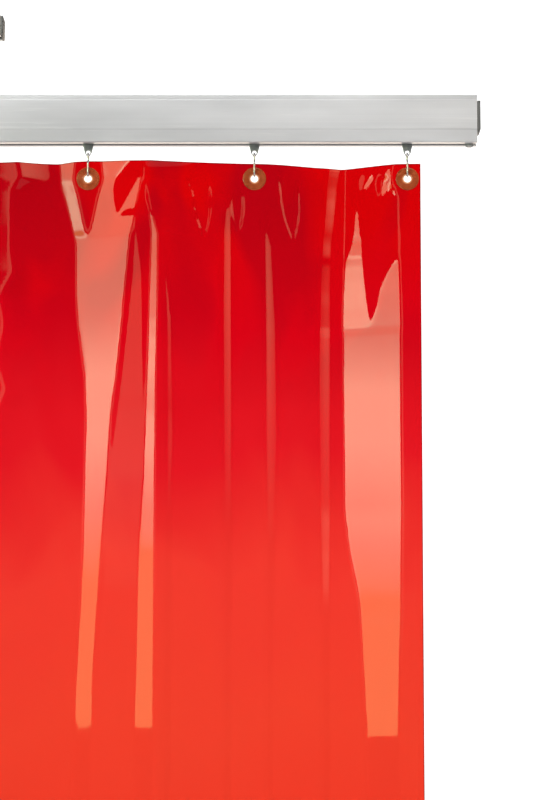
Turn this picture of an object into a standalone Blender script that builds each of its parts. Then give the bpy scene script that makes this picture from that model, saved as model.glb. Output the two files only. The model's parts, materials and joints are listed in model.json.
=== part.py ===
"""A welding curtain: a sheet of tinted film on six rolling hangers in an aluminium rail, hung on two drop
rods from a short ceiling strut. X runs along the rail, the front looks to -Y, and the strut's top face is at
Z = 0."""

import math

import bmesh
import bpy
from mathutils import Vector

MM = 0.001
GAP = 0.3 * MM  # between neighbouring pieces

# Film: its cut size. Each wave, from the right, has the share of the eyelet pitch that its hangers stand
# apart and the side that it bulges to: 1 is the back.
FILM_WIDTH = 1100 * MM
FILM_DROP = 1800 * MM
FILM_THICKNESS = 0.4 * MM
FILM_FLAT_PAST_EYELET = 2 * MM
FILM_TOP_TO_EYELET = 18.8 * MM
WAVES = ((0.8624, 1), (0.9382, -1), (0.95, -1), (0.89, 1), (0.985, -1))
WAVE_STEPS = 12

# Rail section, measured down from the rail's top.
RAIL_DEPTH = 30 * MM
RAIL_WALL = 2 * MM
RAIL_TOP_GROOVE = 7 * MM
RAIL_CHAMBER = 33.6 * MM
RAIL_CHANNEL_WALL = 1.5 * MM
RAIL_SLOT = 8 * MM
RAIL_LIP = 1.8 * MM
RAIL_STEP = 0.6 * MM
RAIL_BAND = 6 * MM
RAIL_CORNER = 1.2 * MM
RAIL_ROOM_RIGHT = 84 * MM
RAIL_ROOM_LEFT = 328 * MM

CAP_FLANGE = 4 * MM
CAP_CORNER = 2.6 * MM
CAP_PLUG = 16 * MM
CAP_OVERHANG = 1.8 * MM

STOP_LENGTH = 16 * MM
STOP_TO_END = 1 * MM
STOP_SCREW_RADIUS = 2 * MM
STOP_HEAD_RADIUS = 5 * MM
STOP_HEAD_HEIGHT = 3.2 * MM
STOP_SCREW_BITE = 8 * MM

# Ceiling strut, its rods and its nuts.
STRUT_LENGTH = 250 * MM
STRUT_DEPTH = 30 * MM
STRUT_HEIGHT = 24.5 * MM
STRUT_WALL = 2 * MM
STRUT_HOLE_RADIUS = 3.3 * MM
STRUT_HOLE_FROM_CENTRE = 50 * MM
STRUT_CAP_FLANGE = 3 * MM
STRUT_CAP_PLUG = 12 * MM
STRUT_CAP_CORNER = 1.5 * MM
ROD_RADIUS = 4 * MM
ROD_SLOT_ROOM = 1 * MM
ROD_STRUT_ROOM = 3 * MM
ROD_FROM_STRUT_END = 35 * MM
ROD_STICKS_OUT = 5 * MM
RAIL_BELOW_STRUT = 73.5 * MM
NUT_ACROSS = 13 * MM
NUT_HEIGHT = 6.5 * MM
CHANNEL_NUT_LENGTH = 34 * MM
CHANNEL_NUT_HEIGHT = 6 * MM
T_NUT_LENGTH = 22 * MM
T_NUT_HEIGHT = 4.4 * MM

# Hanger: plate, axle and wheels in the rail's channel, S-hook and eyelet below it.
WHEEL_RADIUS = 5.3 * MM
WHEEL_HEADROOM = 1 * MM
WHEEL_PAST_SLOT = 1.5 * MM
WHEEL_HUB_RADIUS = 3 * MM
WHEEL_BEVEL = 0.5 * MM
WHEEL_STEPS = 18
AXLE_RADIUS = 1.5 * MM
AXLE_HEAD_RADIUS = 2.4 * MM
AXLE_HEAD = 0.8 * MM
AXLE_SIDE_ROOM = 0.8 * MM
PLATE_WIDTH = 12.5 * MM
PLATE_THICKNESS = 2.4 * MM
PLATE_SHOULDER = 1.6 * MM
PLATE_TIP_WIDTH = 5 * MM
PLATE_TIP_WALL = 2 * MM
PLATE_HOLE_RADIUS = 2.7 * MM
PLATE_HOLE_WALL = 1.5 * MM
PLATE_HOLE_BELOW_RAIL = 10.3 * MM
WIRE_RADIUS = 1.1 * MM
HOOK_TOP_RADIUS = 5.5 * MM
HOOK_FOOT_RADIUS = 6 * MM
HOOK_TOP_TO_FOOT = 16.6 * MM
HOOK_NECK_DROP = 8 * MM
HOOK_TIP_RISE = 7 * MM
HOOK_SIT = 0.5 * MM
HOOK_STEPS = 7
EYELET_RADIUS = 14 * MM
EYELET_BORE = 4.5 * MM
EYELET_WALL = 1.5 * MM
EYELET_FLANGE = 1.1 * MM
EYELET_ROUND = 0.5 * MM
EYELET_STEPS = 20
ROUND_STEPS = 16

SIDES = (("right", 1), ("left", -1))

# Places that follow from the sizes above.
FILM_FLAT_HALF = EYELET_RADIUS + FILM_FLAT_PAST_EYELET
FILM_PITCH = (FILM_WIDTH - 2 * FILM_FLAT_HALF) / len(WAVES)
HUNG_WIDTH = FILM_PITCH * sum(share for share, _ in WAVES)
RAIL_LENGTH = RAIL_ROOM_LEFT + HUNG_WIDTH + RAIL_ROOM_RIGHT
RAIL_END = RAIL_LENGTH / 2
RAIL_TOP = -STRUT_HEIGHT - RAIL_BELOW_STRUT
CHAMBER_TOP = RAIL_TOP - RAIL_TOP_GROOVE - RAIL_WALL
CHAMBER_BOTTOM = CHAMBER_TOP - RAIL_CHAMBER
CHANNEL_TOP = CHAMBER_BOTTOM - RAIL_WALL
CHANNEL_BOTTOM = CHANNEL_TOP - 2 * WHEEL_RADIUS - WHEEL_HEADROOM
RAIL_BOTTOM = CHANNEL_BOTTOM - RAIL_LIP
AXLE_Z = CHANNEL_BOTTOM + GAP + WHEEL_RADIUS
CHANNEL_HALF = RAIL_DEPTH / 2 - RAIL_STEP - RAIL_CHANNEL_WALL
GROOVE_HALF = RAIL_DEPTH / 2 - RAIL_STEP - RAIL_WALL
AXLE_HALF = CHANNEL_HALF - AXLE_SIDE_ROOM
WHEEL_OUTER_FACE = AXLE_HALF - AXLE_HEAD - GAP
WHEEL_INNER_FACE = RAIL_SLOT / 2 + WHEEL_PAST_SLOT
ROD_FROM_CENTRE = STRUT_LENGTH / 2 - ROD_FROM_STRUT_END
RAIL_TOP_SLOT = 2 * (ROD_RADIUS + ROD_SLOT_ROOM)
STRUT_SLOT = 2 * (ROD_RADIUS + ROD_STRUT_ROOM)
HOLE_Z = RAIL_BOTTOM - PLATE_HOLE_BELOW_RAIL
SWING_Z = HOLE_Z - PLATE_HOLE_RADIUS + WIRE_RADIUS + HOOK_SIT - HOOK_TOP_RADIUS
FOOT_Z = SWING_Z - HOOK_TOP_TO_FOOT
EYELET_Z = FOOT_Z - HOOK_FOOT_RADIUS + WIRE_RADIUS + 2 * GAP - EYELET_BORE
FILM_TOP = EYELET_Z + FILM_TOP_TO_EYELET
FILM_BOTTOM = FILM_TOP - FILM_DROP


def clear_scene():
    for obj in list(bpy.data.objects):
        bpy.data.objects.remove(obj, do_unlink=True)


def material(name, colour, roughness, metallic=0.0):
    made = bpy.data.materials.new(name)
    made.use_nodes = True
    shader = made.node_tree.nodes["Principled BSDF"]
    shader.inputs["Base Color"].default_value = (*colour, 1.0)
    shader.inputs["Roughness"].default_value = roughness
    shader.inputs["Metallic"].default_value = metallic
    return made


def mesh_of(bm, name, finish):
    """The mesh in bm with its faces turned out, shaded smooth up to sharp edges."""
    bmesh.ops.recalc_face_normals(bm, faces=bm.faces)
    mesh = bpy.data.meshes.new(name)
    bm.to_mesh(mesh)
    bm.free()
    mesh.materials.append(finish)
    mesh.shade_smooth()
    mesh.set_sharp_from_angle(angle=math.radians(35))
    return mesh


def place(name, data, at=(0, 0, 0), parent=None, turn=0.0):
    """An object named name at a place in the world, under parent if it has one."""
    obj = bpy.data.objects.new(name, data)
    bpy.context.scene.collection.objects.link(obj)
    base = Vector(at)
    if parent:
        obj.parent = parent
        base = base - parent.location
    obj.location = base
    obj.rotation_euler = (0, 0, turn)
    return obj


def along(axis, u, v, w):
    """The point whose section coordinates are u and v, at w along the axis."""
    return {"X": (w, u, v), "Y": (u, w, v), "Z": (u, v, w)}[axis]


def circle(u, v, radius, steps=ROUND_STEPS):
    turns = (2 * math.pi * k / steps for k in range(steps))
    return [(u + radius * math.cos(t), v + radius * math.sin(t)) for t in turns]


def arc(u, v, radius, start, end, steps):
    """Points on an arc round (u, v), from angle start to angle end in degrees."""
    turns = (math.radians(start + (end - start) * k / steps) for k in range(steps + 1))
    return [(u + radius * math.cos(t), v + radius * math.sin(t)) for t in turns]


def rectangle(half_u, low_v, high_v):
    return [(-half_u, low_v), (half_u, low_v), (half_u, high_v), (-half_u, high_v)]


def mirrored(half):
    """A closed outline from its right half, listed from the centre line back to the centre line."""
    return half + [(-u, v) for u, v in reversed(half)]


def add_prism(bm, loops, start, end, axis):
    """Adds the solid whose section the loops bound, the first from outside and the rest as holes."""
    edges = []
    for loop in loops:
        corners = [bm.verts.new(along(axis, u, v, start)) for u, v in loop]
        edges += [bm.edges.new(pair) for pair in zip(corners, corners[1:] + corners[:1])]
    filled = bmesh.ops.triangle_fill(bm, use_beauty=True, edges=edges)
    faces = [g for g in filled["geom"] if isinstance(g, bmesh.types.BMFace)]
    raised = bmesh.ops.extrude_face_region(bm, geom=faces)
    corners = [g for g in raised["geom"] if isinstance(g, bmesh.types.BMVert)]
    bmesh.ops.translate(bm, verts=corners, vec=Vector(along(axis, 0, 0, end - start)))


def add_turned(bm, profile, centre, axis, steps=ROUND_STEPS):
    """Adds a solid of revolution from (radius, distance along axis) points. Off the axis they make a ring."""
    before = len(bm.verts)
    points = [bm.verts.new(Vector(centre) + Vector(along(axis, r, 0, w))) for r, w in profile]
    edges = [bm.edges.new(pair) for pair in zip(points, points[1:])]
    if profile[0][0] > 0:
        edges.append(bm.edges.new((points[-1], points[0])))
    bmesh.ops.spin(
        bm,
        geom=points + edges,
        cent=centre,
        axis=along(axis, 0, 0, 1),
        angle=2 * math.pi,
        steps=steps,
    )
    bmesh.ops.remove_doubles(bm, verts=list(bm.verts)[before:], dist=0.001 * MM)


def prism(name, finish, loops, start, end, axis):
    bm = bmesh.new()
    add_prism(bm, loops, start, end, axis)
    return mesh_of(bm, name, finish)


def change(obj, helper, operation):
    """Cuts the helper from obj or joins it on. The helper stays out of the render."""
    helper.hide_render = True
    helper.display_type = "WIRE"
    boolean = obj.modifiers.new(operation.title(), "BOOLEAN")
    boolean.operation = operation
    boolean.solver = "EXACT"
    boolean.object = helper


def hanger_places():
    """The hangers' X places, from the right."""
    places = [RAIL_END - RAIL_ROOM_RIGHT]
    for share, _ in WAVES:
        places.append(places[-1] - share * FILM_PITCH)
    return places


def make_rail(finish):
    half = RAIL_DEPTH / 2
    low_half = half - RAIL_STEP
    inner = half - RAIL_WALL
    outline = [
        (RAIL_TOP_SLOT / 2, RAIL_TOP - RAIL_LIP),
        (RAIL_TOP_SLOT / 2, RAIL_TOP),
        (low_half, RAIL_TOP),
        (low_half, RAIL_TOP - RAIL_BAND),
        (half, RAIL_TOP - RAIL_BAND - RAIL_STEP),
        (half, CHAMBER_BOTTOM + RAIL_STEP),
        (low_half, CHAMBER_BOTTOM),
        (low_half, RAIL_BOTTOM + RAIL_CORNER),
        (low_half - RAIL_CORNER, RAIL_BOTTOM),
        (RAIL_SLOT / 2, RAIL_BOTTOM),
        (RAIL_SLOT / 2, CHANNEL_BOTTOM),
        (CHANNEL_HALF, CHANNEL_BOTTOM),
        (CHANNEL_HALF, CHANNEL_TOP),
    ]
    groove = [(GROOVE_HALF, RAIL_TOP - RAIL_TOP_GROOVE), (GROOVE_HALF, RAIL_TOP - RAIL_LIP)]
    chamber = rectangle(inner, CHAMBER_BOTTOM, CHAMBER_TOP)
    loops = [mirrored(groove + outline), chamber]
    return place("rail", prism("rail", finish, loops, -RAIL_END, RAIL_END, "X"))


def flange_mesh(name, finish, half, low, high, thickness, corner):
    """A cap's flange, from GAP to thickness along X, with its lower outer corner rounded."""
    side = [(GAP, high), (thickness, high)]
    side += arc(thickness - corner, low + corner, corner, 0, -90, 4)
    side += [(GAP, low)]
    return prism(name, finish, [side], -half, half, "Y")


def make_caps(name, end, flange, plug):
    """The right and left caps of a profile that runs from -end to end, each a flange joined to its plug."""
    for side, sign in SIDES:
        turn = 0.0 if sign > 0 else math.pi
        cover = place(f"{name}_{side}", flange, (sign * end, 0, 0), None, turn)
        helper = place(f"{name}_{side}_plug", plug, (sign * end, 0, 0), None, turn)
        change(cover, helper, "UNION")


def make_rail_caps(finish):
    low = CHAMBER_BOTTOM - CAP_OVERHANG
    high = CHAMBER_TOP + CAP_OVERHANG
    flange = flange_mesh("rail_cap", finish, RAIL_DEPTH / 2, low, high, CAP_FLANGE, CAP_CORNER)
    inside = rectangle(RAIL_DEPTH / 2 - RAIL_WALL - GAP, CHAMBER_BOTTOM + GAP, CHAMBER_TOP - GAP)
    plug = prism("rail_cap_plug", finish, [inside], -CAP_PLUG, CAP_FLANGE / 2, "X")
    make_caps("rail_cap", RAIL_END, flange, plug)


def stop_screw_mesh(finish):
    """The end stop's clamp screw, about the point where its axis meets the rail's underside."""
    head = -GAP
    tip = RAIL_LIP + STOP_SCREW_BITE
    profile = [
        (0, head - STOP_HEAD_HEIGHT),
        (STOP_HEAD_RADIUS * 0.7, head - STOP_HEAD_HEIGHT),
        (STOP_HEAD_RADIUS, head - STOP_HEAD_HEIGHT * 0.6),
        (STOP_HEAD_RADIUS, head),
        (STOP_SCREW_RADIUS, head),
        (STOP_SCREW_RADIUS, tip),
        (0, tip),
    ]
    bm = bmesh.new()
    add_turned(bm, profile, (0, 0, 0), "Z")
    return mesh_of(bm, "end_stop_screw", finish)


def make_end_stops(block_finish, screw_finish):
    half = CHANNEL_HALF - GAP
    block = rectangle(STOP_LENGTH / 2, -half, half)
    loops = [block, circle(0, 0, STOP_SCREW_RADIUS + GAP)]
    stop = prism("end_stop", block_finish, loops, CHANNEL_BOTTOM + GAP, CHANNEL_TOP - GAP, "Z")
    screw = stop_screw_mesh(screw_finish)
    x = RAIL_END - STOP_TO_END - STOP_LENGTH / 2
    for side, sign in SIDES:
        place(f"end_stop_{side}", stop, (sign * x, 0, 0))
        place(f"end_stop_screw_{side}", screw, (sign * x, 0, RAIL_BOTTOM))


def make_strut(finish, cap_finish):
    half = STRUT_DEPTH / 2
    inner = half - STRUT_WALL
    lip_top = -STRUT_HEIGHT + STRUT_WALL
    outline = [
        (inner, -STRUT_WALL),
        (inner, lip_top),
        (STRUT_SLOT / 2, lip_top),
        (STRUT_SLOT / 2, -STRUT_HEIGHT),
        (half, -STRUT_HEIGHT),
        (half, 0),
    ]
    end = STRUT_LENGTH / 2
    profile = prism("ceiling_strut", finish, [mirrored(outline)], -end, end, "X")
    strut = place("ceiling_strut", profile)
    holes = bmesh.new()
    for x in (-STRUT_HOLE_FROM_CENTRE, STRUT_HOLE_FROM_CENTRE):
        add_prism(holes, [circle(x, 0, STRUT_HOLE_RADIUS)], -2 * STRUT_WALL, STRUT_WALL, "Z")
    change(strut, place("strut_holes", mesh_of(holes, "strut_holes", finish)), "DIFFERENCE")
    sides = (half, -STRUT_HEIGHT, -GAP)
    flange = flange_mesh("strut_cap", cap_finish, *sides, STRUT_CAP_FLANGE, STRUT_CAP_CORNER)
    inside = rectangle(inner - GAP, lip_top + GAP, -STRUT_WALL - GAP)
    plug = prism("strut_cap_plug", cap_finish, [inside], -STRUT_CAP_PLUG, STRUT_CAP_FLANGE / 2, "X")
    make_caps("strut_cap", end, flange, plug)


def make_rods(finish):
    """The drop rods with the nuts that hold them, one of each at both ends of the strut."""
    lip_top = -STRUT_HEIGHT + STRUT_WALL
    channel_nut_top = lip_top + GAP + CHANNEL_NUT_HEIGHT
    t_nut_top = RAIL_TOP - RAIL_LIP - GAP
    channel_half = STRUT_DEPTH / 2 - STRUT_WALL - GAP
    t_half = GROOVE_HALF - GAP
    bore = circle(0, 0, ROD_RADIUS + GAP)
    hexagon = circle(0, 0, NUT_ACROSS / math.sqrt(3), 6)
    channel = rectangle(CHANNEL_NUT_LENGTH / 2, -channel_half, channel_half)
    t_outline = rectangle(T_NUT_LENGTH / 2, -t_half, t_half)
    rod_foot = RAIL_TOP - RAIL_TOP_GROOVE + GAP
    pieces = (
        ("drop_rod", [circle(0, 0, ROD_RADIUS)], rod_foot, channel_nut_top + ROD_STICKS_OUT),
        ("channel_nut", [channel, bore], lip_top + GAP, channel_nut_top),
        ("upper_lock_nut", [hexagon, bore], -STRUT_HEIGHT - GAP - NUT_HEIGHT, -STRUT_HEIGHT - GAP),
        ("lower_lock_nut", [hexagon, bore], RAIL_TOP + GAP, RAIL_TOP + GAP + NUT_HEIGHT),
        ("rail_t_nut", [t_outline, bore], t_nut_top - T_NUT_HEIGHT, t_nut_top),
    )
    for name, loops, low, high in pieces:
        mesh = prism(name, finish, loops, low, high, "Z")
        for side, sign in SIDES:
            place(f"{name}_{side}", mesh, (sign * ROD_FROM_CENTRE, 0, 0))


def plate_mesh(finish):
    """The hanger's plate about the axle's centre: square in the channel, a V with a round end below it."""
    half = PLATE_WIDTH / 2
    tip_radius = PLATE_TIP_WIDTH / 2
    shoulder = RAIL_BOTTOM - PLATE_SHOULDER - AXLE_Z
    hole = HOLE_Z - AXLE_Z
    tip = hole - PLATE_HOLE_RADIUS - PLATE_TIP_WALL + tip_radius
    top = CHANNEL_TOP - 2 * GAP - AXLE_Z
    outline = [(half, top), (-half, top), (-half, shoulder)]
    outline += [(-PLATE_HOLE_RADIUS - PLATE_HOLE_WALL, hole)]
    outline += arc(0, tip, tip_radius, 195, 345, 6)
    outline += [(PLATE_HOLE_RADIUS + PLATE_HOLE_WALL, hole), (half, shoulder)]
    loops = [outline, circle(0, 0, AXLE_RADIUS + GAP, 12), circle(0, hole, PLATE_HOLE_RADIUS)]
    return prism("hanger_plate", finish, loops, -PLATE_THICKNESS / 2, PLATE_THICKNESS / 2, "Y")


def axle_mesh(finish):
    head = AXLE_HALF - AXLE_HEAD
    profile = [
        (0, -AXLE_HALF),
        (AXLE_HEAD_RADIUS, -AXLE_HALF),
        (AXLE_HEAD_RADIUS, -head),
        (AXLE_RADIUS, -head),
        (AXLE_RADIUS, head),
        (AXLE_HEAD_RADIUS, head),
        (AXLE_HEAD_RADIUS, AXLE_HALF),
        (0, AXLE_HALF),
    ]
    bm = bmesh.new()
    add_turned(bm, profile, (0, 0, 0), "Y", 12)
    return mesh_of(bm, "hanger_axle", finish)


def wheel_mesh(finish):
    """The wheel behind the plate, about the axle's centre, with a hub that keeps it clear of the plate."""
    bore = AXLE_RADIUS + GAP
    hub_face = PLATE_THICKNESS / 2 + GAP
    profile = [
        (bore, hub_face),
        (WHEEL_HUB_RADIUS, hub_face),
        (WHEEL_HUB_RADIUS, WHEEL_INNER_FACE),
        (WHEEL_RADIUS - WHEEL_BEVEL, WHEEL_INNER_FACE),
        (WHEEL_RADIUS, WHEEL_INNER_FACE + WHEEL_BEVEL),
        (WHEEL_RADIUS, WHEEL_OUTER_FACE),
        (bore, WHEEL_OUTER_FACE),
    ]
    bm = bmesh.new()
    add_turned(bm, profile, (0, 0, 0), "Y", WHEEL_STEPS)
    return mesh_of(bm, "hanger_wheel", finish)


def bezier(points, steps):
    """Points on a cubic curve, its ends left out."""
    made = []
    for k in range(1, steps):
        t = k / steps
        weights = ((1 - t) ** 3, 3 * t * (1 - t) ** 2, 3 * t * t * (1 - t), t**3)
        made.append(tuple(sum(w * p[n] for w, p in zip(weights, points)) for n in (0, 1)))
    return made


def hook_route():
    """The S-hook's line as (y, z) points about its swing axis: over the top, across, and round the foot."""
    top = arc(0, 0, HOOK_TOP_RADIUS, 190, -10, 2 * HOOK_STEPS)
    front = -HOOK_FOOT_RADIUS
    neck_start = top[-1]
    neck_end = (front, -HOOK_NECK_DROP)
    neck = bezier(
        [
            neck_start,
            (0.92 * neck_start[0], neck_start[1] - 0.3 * HOOK_TOP_RADIUS),
            (front, neck_end[1] + 0.55 * HOOK_NECK_DROP),
            neck_end,
        ],
        HOOK_STEPS,
    )
    foot = arc(0, -HOOK_TOP_TO_FOOT, HOOK_FOOT_RADIUS, 180, 360, 2 * HOOK_STEPS)
    tip = (HOOK_FOOT_RADIUS, -HOOK_TOP_TO_FOOT + HOOK_TIP_RISE)
    return top + neck + [neck_end] + foot + [tip]


def hook_curve(finish):
    curve = bpy.data.curves.new("s_hook", "CURVE")
    curve.dimensions = "3D"
    curve.bevel_depth = WIRE_RADIUS
    curve.bevel_resolution = 1
    curve.use_fill_caps = True
    route = hook_route()
    line = curve.splines.new("POLY")
    line.points.add(len(route) - 1)
    for point, (y, z) in zip(line.points, route):
        point.co = (0, y, z, 1)
    curve.materials.append(finish)
    return curve


def eyelet_mesh(finish):
    """The closed eyelet about its centre: a flange on each side of the film and the barrel through it."""
    face = FILM_THICKNESS / 2 + GAP
    outer = face + EYELET_FLANGE
    barrel = EYELET_BORE + EYELET_WALL
    profile = [
        (EYELET_BORE, -outer),
        (EYELET_RADIUS - EYELET_ROUND, -outer),
        (EYELET_RADIUS, -outer + EYELET_ROUND),
        (EYELET_RADIUS, -face),
        (barrel, -face),
        (barrel, face),
        (EYELET_RADIUS, face),
        (EYELET_RADIUS - EYELET_ROUND, outer),
        (EYELET_BORE, outer),
    ]
    bm = bmesh.new()
    add_turned(bm, profile, (0, 0, 0), "Y", EYELET_STEPS)
    return mesh_of(bm, "eyelet", finish)


def make_hangers(finishes):
    plate = plate_mesh(finishes["zinc"])
    axle = axle_mesh(finishes["zinc"])
    wheel = wheel_mesh(finishes["nylon"])
    hook = hook_curve(finishes["wire"])
    eyelet = eyelet_mesh(finishes["amber"])
    for number, x in enumerate(hanger_places(), 1):
        roller = place(f"roller_{number}_axis", None, (x, 0, AXLE_Z))
        place(f"hanger_plate_{number}", plate, (x, 0, AXLE_Z), roller)
        place(f"hanger_axle_{number}", axle, (x, 0, AXLE_Z), roller)
        place(f"front_wheel_{number}", wheel, (x, 0, AXLE_Z), roller, math.pi)
        place(f"back_wheel_{number}", wheel, (x, 0, AXLE_Z), roller)
        swing = place(f"swing_{number}_axis", None, (x, 0, SWING_Z))
        place(f"s_hook_{number}", hook, (x, 0, SWING_Z), swing)
        place(f"eyelet_{number}", eyelet, (x, 0, EYELET_Z), swing)


def bump(depth, span):
    """Plan points of one wave of the film over a span, level at both ends, the ends left out."""
    shares = (k / WAVE_STEPS for k in range(1, WAVE_STEPS))
    return [(span * s, depth * math.sin(math.pi * s) ** 2) for s in shares]


def length_of(points):
    return sum(math.dist(a, b) for a, b in zip(points, points[1:]))


def wave_depth(span, length):
    """The depth at which a wave over a span has this length, found by halving."""
    low, high = 0.0, length
    for _ in range(50):
        depth = (low + high) / 2
        if length_of([(0, 0), *bump(depth, span), (span, 0)]) < length:
            low = depth
        else:
            high = depth
    return depth


def film_plan():
    """The film's line from above, from left to right: flat at each hanger, a wave between two."""
    hangers = hanger_places()[::-1]
    points = [(hangers[0] - FILM_FLAT_HALF, 0.0), (hangers[0] + FILM_FLAT_HALF, 0.0)]
    for left, right, (_, side) in zip(hangers, hangers[1:], WAVES[::-1]):
        start = left + FILM_FLAT_HALF
        span = right - FILM_FLAT_HALF - start
        depth = side * wave_depth(span, FILM_PITCH - 2 * FILM_FLAT_HALF)
        points += [(start + u, v) for u, v in bump(depth, span)]
        points += [(start + span, 0.0), (right + FILM_FLAT_HALF, 0.0)]
    points[-1] = (hangers[-1] + FILM_FLAT_HALF, 0.0)
    return points


def sideways(points, k):
    """The unit vector across a plan line at its point k."""
    before = points[max(k - 1, 0)]
    after = points[min(k + 1, len(points) - 1)]
    run = Vector((after[0] - before[0], after[1] - before[1])).normalized()
    return Vector((-run.y, run.x))


def make_film(finish):
    """The film as one thin upright solid with a hole for each eyelet, about the swing axis."""
    plan = film_plan()
    high, low = FILM_TOP - SWING_Z, FILM_BOTTOM - SWING_Z
    bm = bmesh.new()
    rows = []
    for k, (x, y) in enumerate(plan):
        across = sideways(plan, k) * (FILM_THICKNESS / 2)
        back = (x + across.x, y + across.y)
        front = (x - across.x, y - across.y)
        corners = ((*front, high), (*front, low), (*back, low), (*back, high))
        rows.append([bm.verts.new(corner) for corner in corners])
    for row, after in zip(rows, rows[1:]):
        for k in range(4):
            bm.faces.new((row[k], after[k], after[(k + 1) % 4], row[(k + 1) % 4]))
    bm.faces.new(rows[0])
    bm.faces.new(rows[-1])
    film = place("curtain_film", mesh_of(bm, "curtain_film", finish), (0, 0, SWING_Z))
    holes = bmesh.new()
    radius = EYELET_BORE + EYELET_WALL + GAP
    for x in hanger_places():
        add_prism(holes, [circle(x, EYELET_Z - SWING_Z, radius, EYELET_STEPS)], -5 * MM, 5 * MM, "Y")
    cutter = place("film_holes", mesh_of(holes, "film_holes", finish), (0, 0, SWING_Z))
    change(film, cutter, "DIFFERENCE")


def main():
    clear_scene()
    finishes = {
        "aluminium": material("anodised_aluminium", (0.62, 0.62, 0.60), 0.34, 1.0),
        "galvanised": material("galvanised_steel", (0.50, 0.51, 0.52), 0.45, 1.0),
        "zinc": material("zinc_plate", (0.40, 0.42, 0.43), 0.40, 1.0),
        "wire": material("bright_wire", (0.62, 0.63, 0.64), 0.22, 1.0),
        "black": material("black_plastic", (0.045, 0.045, 0.04), 0.55),
        "nylon": material("white_nylon", (0.72, 0.71, 0.66), 0.45),
        "amber": material("amber_plastic", (0.72, 0.30, 0.12), 0.25),
        "film": material("red_orange_film", (0.78, 0.02, 0.02), 0.08),
    }
    make_strut(finishes["galvanised"], finishes["black"])
    make_rods(finishes["galvanised"])
    make_rail(finishes["aluminium"])
    make_rail_caps(finishes["black"])
    make_end_stops(finishes["nylon"], finishes["zinc"])
    make_hangers(finishes)
    make_film(finishes["film"])


main()
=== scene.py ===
"""The looks of a welding curtain: tinted film on rolling hangers in an aluminium rail under a ceiling strut.

X runs along the rail, the front looks to -Y, and the strut's top face is at Z = 0. Lengths are in metres."""

import json
import math

import bmesh
import bpy
import numpy as np
from mathutils import Matrix, Vector

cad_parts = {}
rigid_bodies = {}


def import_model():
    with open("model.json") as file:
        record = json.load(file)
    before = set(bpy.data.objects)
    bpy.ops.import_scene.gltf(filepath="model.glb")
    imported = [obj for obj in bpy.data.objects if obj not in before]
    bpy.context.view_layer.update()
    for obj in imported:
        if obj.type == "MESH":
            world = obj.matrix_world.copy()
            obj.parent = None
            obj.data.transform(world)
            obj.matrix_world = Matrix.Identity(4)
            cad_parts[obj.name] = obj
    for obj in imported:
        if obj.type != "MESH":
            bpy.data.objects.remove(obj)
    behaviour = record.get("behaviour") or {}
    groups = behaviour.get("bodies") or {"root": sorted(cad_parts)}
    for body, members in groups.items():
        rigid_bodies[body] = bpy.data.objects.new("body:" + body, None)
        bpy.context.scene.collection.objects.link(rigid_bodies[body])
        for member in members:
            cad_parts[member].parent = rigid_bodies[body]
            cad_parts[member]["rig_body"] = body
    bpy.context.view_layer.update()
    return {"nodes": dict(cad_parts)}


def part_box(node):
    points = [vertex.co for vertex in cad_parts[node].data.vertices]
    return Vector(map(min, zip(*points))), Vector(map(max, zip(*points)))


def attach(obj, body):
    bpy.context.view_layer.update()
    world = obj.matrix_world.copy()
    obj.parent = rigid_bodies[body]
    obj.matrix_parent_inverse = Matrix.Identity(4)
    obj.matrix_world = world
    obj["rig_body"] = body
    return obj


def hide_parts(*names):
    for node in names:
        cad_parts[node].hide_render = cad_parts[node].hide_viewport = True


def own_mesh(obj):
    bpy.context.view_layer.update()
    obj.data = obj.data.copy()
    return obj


MM = 0.001
HANGERS = 6

# Camera and lights.
CAMERA_PLACE = (0.4470, -3.6, -0.950)
CAMERA_TILT_UP = 7.64
CAMERA_LENS = 137.0
BACKDROP = 1.36
ROOM_LIGHT = 0.42
ROOM_SHINE = 0.03
FLOOR_GAP = 0.06

# Film.
FILM_WIDTH = 1.10
FILM_THICKNESS = 0.4 * MM
HOLE_RADIUS = 6.3 * MM
FLAT_RADIUS = 14.6 * MM
FLAT_FADE = 12 * MM
BAND_START_FADE = 22 * MM
TOP_EDGE_FADE = 11 * MM
TONGUE_SOFT = 1.6
DIMPLE_SOFT = 3.6
FUNNEL_SOFT = 4 * MM
FUNNEL_TIP_WIDTH = 3 * MM
FUNNEL_FULLNESS = 1.25
FUNNEL_TAPER = 0.8
EDGE_SOFT = 4.2 * MM

# The film's grid: the cells around each eyelet, the even steps between them, and the level steps below the
# eyelets with the drop that each reaches down to.
EYELET_CELL = 3.0 * MM
EYELET_CELLS = 5
FINE_STEP = 2.45 * MM
COARSE_STEP = 4.9 * MM
EDGE_STEP = 1.0 * MM
TOP_STEP = 1.9 * MM
DROP_STEPS = ((2.7 * MM, 0.11), (5.0 * MM, 0.28), (10 * MM, 0.70))
LOWEST_STEP = 42 * MM
FINE_LEFT_OF_THIRD = 0.105

# Leans that show one lamp: the key softbox, the dark beside it, the shade panel and the strip on the right.
TO_KEY = (-0.40, -0.40)
TO_DARK = (-0.30, -0.30)
TO_SHADE = (-0.125, -0.135)
TO_STRIP_RISING = (0.34, 0.60)
TO_STRIP_FALLING = (0.60, 0.34)
TONGUE_LEANS = {1: -0.30, 3: -0.215}

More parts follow.
